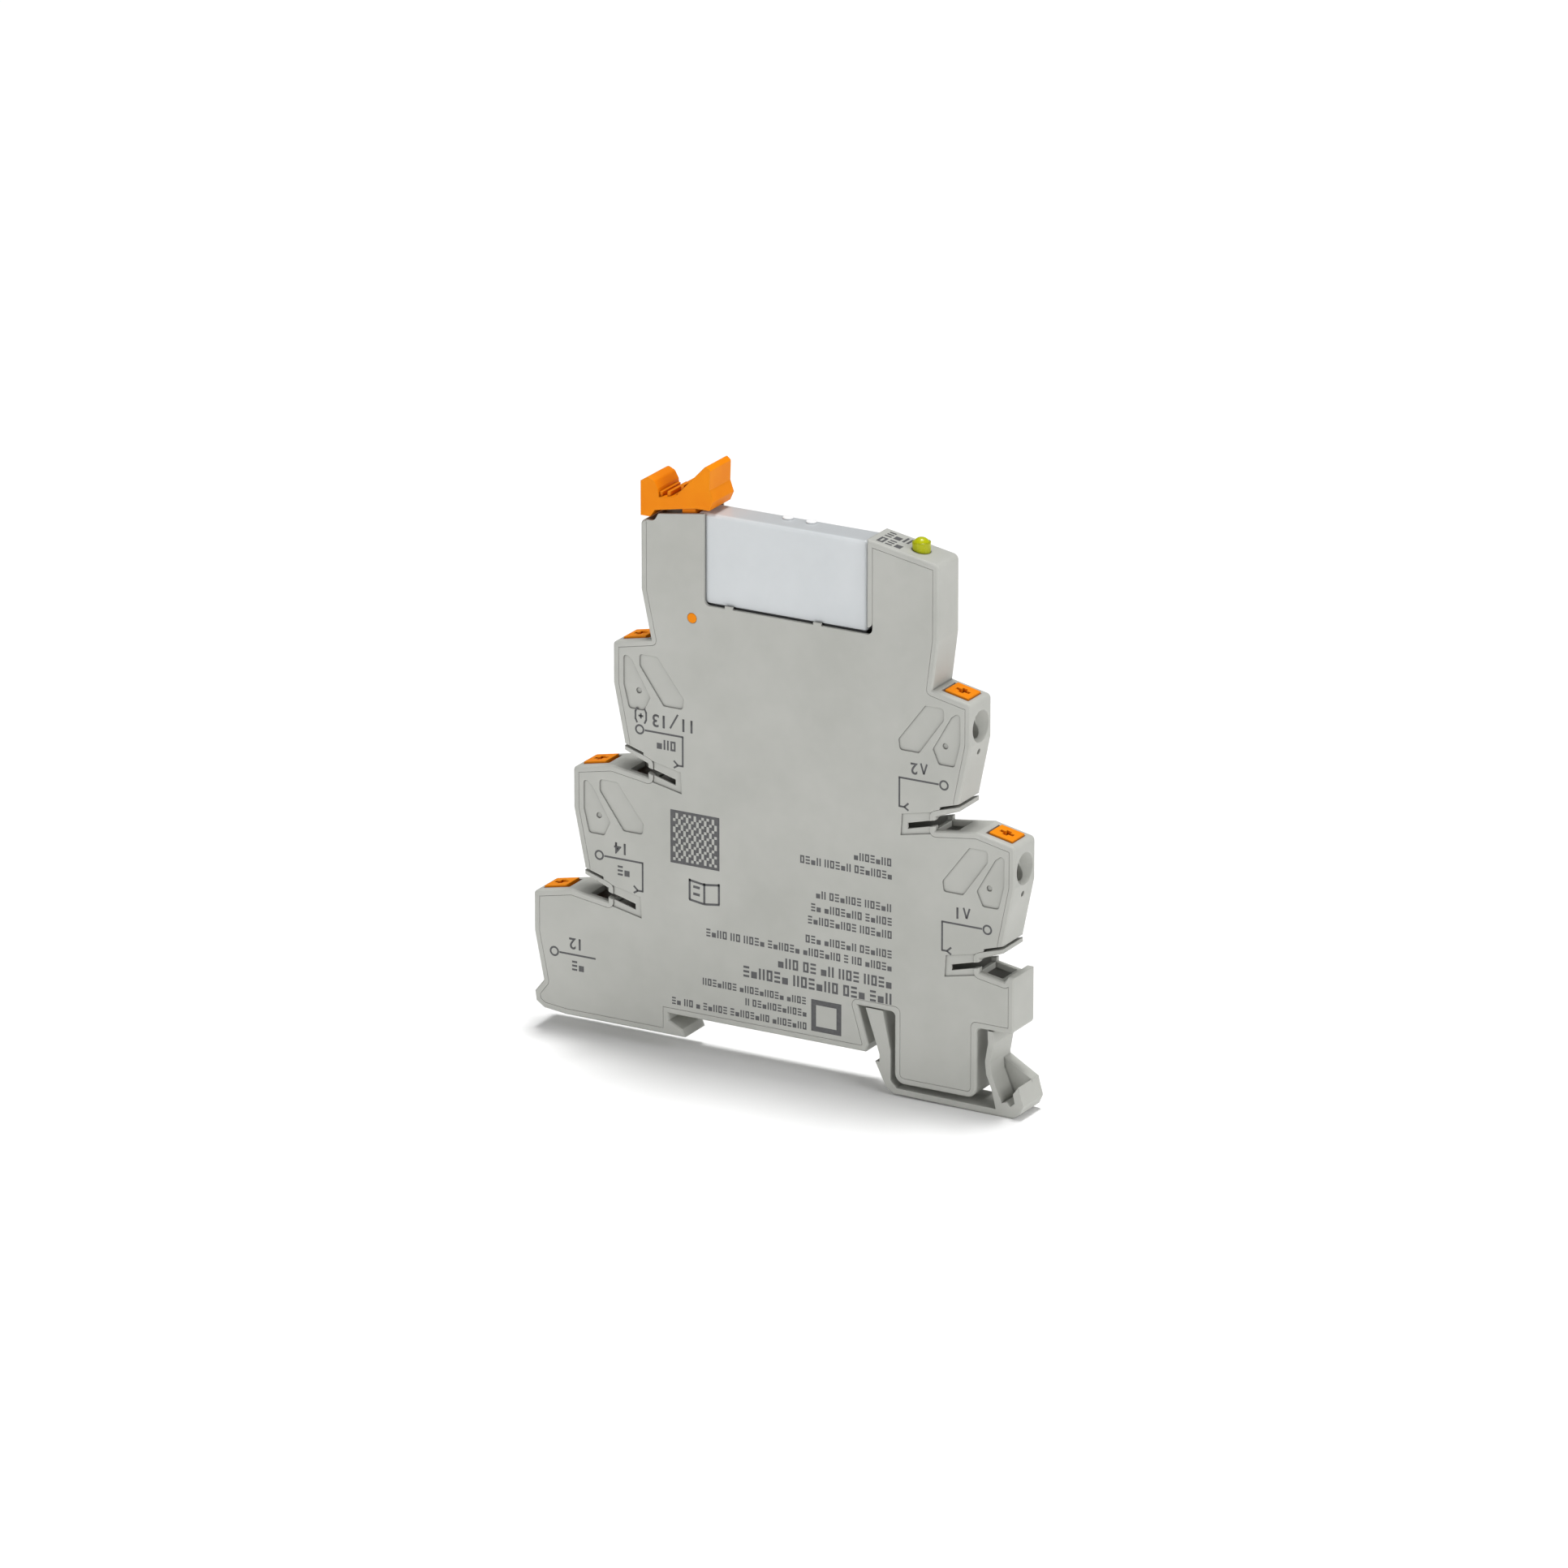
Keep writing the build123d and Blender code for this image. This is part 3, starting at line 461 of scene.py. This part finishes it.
for x in (-18.9, -17.5, -15.2):
    rise = horn_rise if x > valley_end else valley_rise
    middle_z = valley_top + (x - valley_end) * rise + rib_lift
    deselect()
    bpy.ops.mesh.primitive_cube_add(size=1, location=(x * MM, 0, middle_z * MM))
    bpy.context.object.scale = rib_size
    settle(bpy.context.object)
    ribs.append(bpy.context.object)
label_ribs = join_as("label_ribs", ribs)
label_ribs.data.materials.append(orange_plastic)
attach(label_ribs, "ejector_lever")

# Relay: a thin milky cap welded over a dark base. Light goes a little way into the cap, so its
# corners look softer than the housing's. Its top is painted a darker tone as painted shade, and the
# two moulding pips on its top are whiter.
cap_plastic = moulded(
    "milky_relay_cap",
    deep=(0.565, 0.590, 0.603, 1.0),
    pale=(0.608, 0.632, 0.645, 1.0),
    arris=(0.760, 0.780, 0.790, 1.0),
    roughness=0.3,
    grain=0.3 * MM,
)
relay_top = 77.8 * MM
painted_shade_cap_top_tone = (0.500, 0.520, 0.533, 1.0)
pip_tone = (0.960, 0.965, 0.970, 1.0)
cap_shader = cap_plastic.node_tree.nodes["Principled BSDF"]
cap_shader.inputs["Subsurface Weight"].default_value = 0.35
cap_shader.inputs["Subsurface Radius"].default_value = (1.0, 1.0, 1.0)
cap_shader.inputs["Subsurface Scale"].default_value = 0.4 * MM
cap_tree = cap_plastic.node_tree
cap_place = add_node(cap_tree, "ShaderNodeTexCoord").outputs["Object"]
cap_axes = add_node(cap_tree, "ShaderNodeSeparateXYZ")
cap_tree.links.new(cap_place, cap_axes.inputs["Vector"])
cap_tone = cap_shader.inputs["Base Color"].links[0].from_socket
tone_blend = 0.06 * MM
# Painted shade on the cap's top: a darker tone from just below the top surface up. Above the top, the pips
# turn whiter.
for start, tone in ((relay_top - 0.08 * MM, painted_shade_cap_top_tone), (relay_top + 0.10 * MM, pip_tone)):
    above = add_node(cap_tree, "ShaderNodeMapRange", From_Min=start, From_Max=start + tone_blend)
    cap_tree.links.new(cap_axes.outputs["Z"], above.inputs["Value"])
    layer = add_node(cap_tree, "ShaderNodeMix", data_type="RGBA")
    layer.inputs["B"].default_value = tone
    cap_tree.links.new(above.outputs["Result"], layer.inputs["Factor"])
    cap_tree.links.new(cap_tone, layer.inputs["A"])
    cap_tone = layer.outputs["Result"]
cap_tree.links.new(cap_tone, cap_shader.inputs["Base Color"])
dress(cap_plastic, "relay_case")
dark_plastic = moulded(
    "black_thermoset",
    deep=(0.018, 0.018, 0.020, 1.0),
    pale=(0.030, 0.030, 0.032, 1.0),
    arris=(0.075, 0.075, 0.080, 1.0),
    roughness=0.5,
    grain=0.2 * MM,
)
dress(dark_plastic, "relay_base", "rectifier")
bobbin_plastic = moulded(
    "ivory_bobbin",
    deep=(0.70, 0.68, 0.60, 1.0),
    pale=(0.76, 0.74, 0.67, 1.0),
    arris=(0.85, 0.84, 0.80, 1.0),
    roughness=0.45,
    grain=0.3 * MM,
)
dress(bobbin_plastic, "coil_bobbin", "actuator_card")


# Metal inside: a wound copper coil on a soft-iron core, brass contact pieces, tin-plated copper bars
# and spring-steel clamps. Stamping leaves each of them brushed along its length.
def metal(name, colour, streak, roughness, stretch):
    """Stamped or drawn metal with streaks of tone and roughness along one direction."""
    material = bpy.data.materials.new(name)
    material.use_nodes = True
    tree = material.node_tree
    shader = tree.nodes["Principled BSDF"]
    shader.inputs["Metallic"].default_value = 1.0
    place = add_node(tree, "ShaderNodeTexCoord").outputs["Object"]
    drawn = add_node(tree, "ShaderNodeMapping")
    drawn.inputs["Scale"].default_value = stretch
    lines = add_node(tree, "ShaderNodeTexNoise", Scale=1 / (0.25 * MM), Detail=4.0, Roughness=0.6)
    tree.links.new(place, drawn.inputs["Vector"])
    tree.links.new(drawn.outputs["Vector"], lines.inputs["Vector"])
    tone = add_node(tree, "ShaderNodeMix", data_type="RGBA")
    tone.inputs["A"].default_value = colour
    tone.inputs["B"].default_value = streak
    tree.links.new(lines.outputs["Fac"], tone.inputs["Factor"])
    tree.links.new(tone.outputs["Result"], shader.inputs["Base Color"])
    gloss = add_node(tree, "ShaderNodeMapRange", To_Min=roughness - 0.08, To_Max=roughness + 0.12)
    tree.links.new(lines.outputs["Fac"], gloss.inputs["Value"])
    tree.links.new(gloss.outputs["Result"], shader.inputs["Roughness"])
    relief = add_node(tree, "ShaderNodeBump", Strength=0.25, Distance=0.01 * MM)
    tree.links.new(lines.outputs["Fac"], relief.inputs["Height"])
    tree.links.new(relief.outputs["Normal"], shader.inputs["Normal"])
    return material


copper = metal("copper_winding", (0.72, 0.30, 0.14, 1.0), (0.42, 0.15, 0.06, 1.0), 0.35, (1.0, 0.02, 0.02))
dress(copper, "coil_winding")
soft_iron = metal("soft_iron", (0.42, 0.42, 0.42, 1.0), (0.30, 0.30, 0.31, 1.0), 0.42, (0.15, 1.0, 1.0))
dress(soft_iron, "magnet_core", "magnet_yoke", "armature")
brass = metal("contact_brass", (0.83, 0.62, 0.32, 1.0), (0.66, 0.46, 0.21, 1.0), 0.32, (1.0, 1.0, 0.15))
dress(brass, "contact_nc", "contact_no", "contact_common", "moving_contact", "coil_pins")
dress(brass, "coil_socket_inner", "coil_socket_outer")
tinned = metal("tinned_copper", (0.74, 0.72, 0.68, 1.0), (0.58, 0.56, 0.52, 1.0), 0.34, (0.3, 1.0, 0.3))
dress(tinned, *[name for name in nodes if name.startswith("current_bar")])
steel = metal("spring_steel", (0.66, 0.66, 0.68, 1.0), (0.50, 0.50, 0.52, 1.0), 0.28, (1.0, 0.15, 1.0))
dress(steel, *[name for name in nodes if name.startswith("clamp_spring")])

# Circuit board and lamp: green laminate with two barrel resistors, and a lamp cast in yellow-green
# resin whose dome stands out of the right tower.
laminate = moulded(
    "green_laminate",
    deep=(0.012, 0.110, 0.040, 1.0),
    pale=(0.020, 0.150, 0.055, 1.0),
    arris=(0.20, 0.26, 0.14, 1.0),
    roughness=0.35,
    grain=0.35 * MM,
)
dress(laminate, "circuit_board")
resistor_body = moulded(
    "resistor_lacquer",
    deep=(0.52, 0.36, 0.20, 1.0),
    pale=(0.60, 0.43, 0.25, 1.0),
    arris=(0.7, 0.55, 0.35, 1.0),
    roughness=0.4,
    grain=0.3 * MM,
)
dress(resistor_body, "series_resistors")
lamp_resin = moulded(
    "yellow_green_resin",
    deep=(0.360, 0.385, 0.000, 1.0),
    pale=(0.450, 0.475, 0.000, 1.0),
    arris=(0.22, 0.24, 0.00, 1.0),
    roughness=0.25,
    grain=0.4 * MM,
)
lamp_shader = lamp_resin.node_tree.nodes["Principled BSDF"]
lamp_shader.inputs["Subsurface Weight"].default_value = 0.2
lamp_shader.inputs["Subsurface Radius"].default_value = (1.0, 1.0, 0.3)
lamp_shader.inputs["Subsurface Scale"].default_value = 0.8 * MM
lamp_shader.inputs["Specular IOR Level"].default_value = 0.3
dress(lamp_resin, "signal_lamp")

# Studio: a pale floor, a soft panel above and a little behind, which throws the short shadow in front
# of the foot, a soft box at the right and one in front, and a long lens from the front right.
floor_plastic = bpy.data.materials.new("pale_floor")
floor_plastic.use_nodes = True
floor_shader = floor_plastic.node_tree.nodes["Principled BSDF"]
floor_shader.inputs["Base Color"].default_value = (0.985, 0.985, 0.985, 1.0)
floor_shader.inputs["Roughness"].default_value = 0.7
deselect()
bpy.ops.mesh.primitive_plane_add(size=8, location=(0, 0, cad_low.z))
floor = bpy.context.object
floor.name = "studio_floor"
floor.data.materials.append(floor_plastic)

world = bpy.data.worlds.new("studio")
bpy.context.scene.world = world
world.use_nodes = True
world.node_tree.nodes["Background"].inputs["Color"].default_value = (1.0, 1.0, 1.0, 1.0)
world.node_tree.nodes["Background"].inputs["Strength"].default_value = 0.20

aim = Vector((1.76 * MM, cover_face, 38.9 * MM))


def soft_light(name, azimuth, elevation, distance, size, power):
    """A square soft box that points at the object."""
    across = math.radians(azimuth)
    up = math.radians(elevation)
    toward = Vector((math.sin(across) * math.cos(up), -math.cos(across) * math.cos(up), math.sin(up)))
    lamp_data = bpy.data.lights.new(name, "AREA")
    lamp_data.size = size
    lamp_data.energy = power
    light = bpy.data.objects.new(name, lamp_data)
    light.location = aim + toward * distance
    light.rotation_euler = toward.to_track_quat("Z", "Y").to_euler()
    bpy.context.scene.collection.objects.link(light)


soft_light("right_softbox", 80, 25, 0.9, 0.5, 3.6)
soft_light("front_softbox", -20, 12, 1.2, 0.8, 5.3)

panel_data = bpy.data.lights.new("overhead_panel", "SUN")
panel_data.energy = 2.5
panel_data.angle = math.radians(18)
panel = bpy.data.objects.new("overhead_panel", panel_data)
panel.rotation_euler = (math.radians(-9.5), 0, 0)
bpy.context.scene.collection.objects.link(panel)

view_azimuth = math.radians(29.3)
view_elevation = math.radians(19.3)
view_distance = 1.890
look = Vector(
    (
        math.sin(view_azimuth) * math.cos(view_elevation),
        -math.cos(view_azimuth) * math.cos(view_elevation),
        math.sin(view_elevation),
    )
)
camera_data = bpy.data.cameras.new("product_camera")
camera_data.lens = 300
camera_data.sensor_width = 36
camera_data.clip_end = 20
camera = bpy.data.objects.new("product_camera", camera_data)
camera.location = aim + look * view_distance
camera.rotation_euler = look.to_track_quat("Z", "Y").to_euler()
bpy.context.scene.collection.objects.link(camera)
bpy.context.scene.camera = camera
bpy.context.scene.view_settings.view_transform = "Standard"
